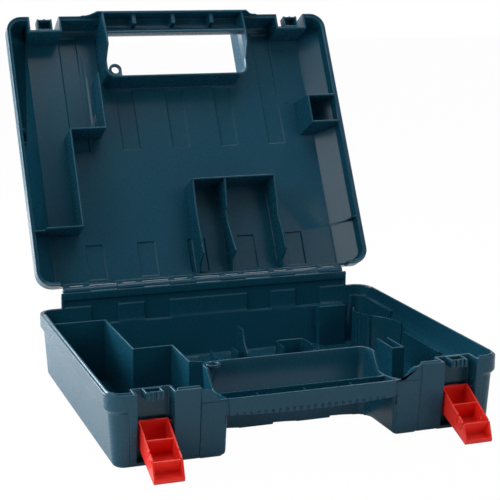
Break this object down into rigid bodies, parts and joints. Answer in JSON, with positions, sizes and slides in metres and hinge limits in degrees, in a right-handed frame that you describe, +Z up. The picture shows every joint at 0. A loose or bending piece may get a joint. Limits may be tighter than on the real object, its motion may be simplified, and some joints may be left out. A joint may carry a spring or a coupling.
{
  "type": "saw blade storage case",
  "caption": "Dark teal moulded carrying case for a power saw and its blades, standing open with its divided lid tilted back and two red latches hanging down.",
  "frame": {"origin": "centre of the underside of the base, on the plane it stands on", "axes": "+X to the right seen from the handle, +Y towards the hinge, +Z up"},
  "size_m": [0.393, 0.5332, 0.3884],
  "materials": {
    "case": "satin moulded polypropylene, dark teal",
    "latch": "smooth moulded plastic, bright red",
    "rod": "drawn steel rod"
  },
  "bodies": {
    "base": {"base_shell": "case", "base_hand_hole_wall": "case", "base_latch_recess_left": "case", "base_latch_recess_right": "case", "base_back_wall": "case", "base_handle": "case", "base_left_divider": "case", "base_curved_divider": "case", "base_blade_rack": "case", "base_corner_post": "case", "base_side_liner": "case", "base_tool_cradle": "case", "base_floor_fins": "case", "base_keeper_left": "case", "base_keeper_right": "case", "base_padlock_eye": "case", "base_hinge_knuckles": "case", "hinge_rod": "rod"},
    "lid": {"lid_shell": "case", "lid_hand_hole_wall": "case", "lid_latch_recess_left": "case", "lid_latch_recess_right": "case", "lid_handle": "case", "lid_divider": "case", "lid_accessory_trays": "case", "lid_bit_box": "case", "lid_gussets": "case", "lid_keeper_left": "case", "lid_keeper_right": "case", "lid_padlock_eye": "case", "lid_hinge_knuckles": "case"},
    "latch_left": {"latch_left": "latch"},
    "latch_right": {"latch_right": "latch"}
  },
  "joints": [
    {"name": "lid_hinge", "type": "hinge", "parent": "base", "child": "lid", "pos_m": [0, 0.1635, 0.0885], "axis": [1, 0, 0], "range_deg": [0, 118.4]},
    {"name": "latch_left_pivot", "type": "hinge", "parent": "base", "child": "latch_left", "pos_m": [-0.152, -0.1486, 0.0383], "axis": [-1, 0, 0], "range_deg": [0, 117.3]},
    {"name": "latch_right_pivot", "type": "hinge", "parent": "base", "child": "latch_right", "pos_m": [0.152, -0.1486, 0.0383], "axis": [-1, 0, 0], "range_deg": [0, 117.3]}
  ]
}
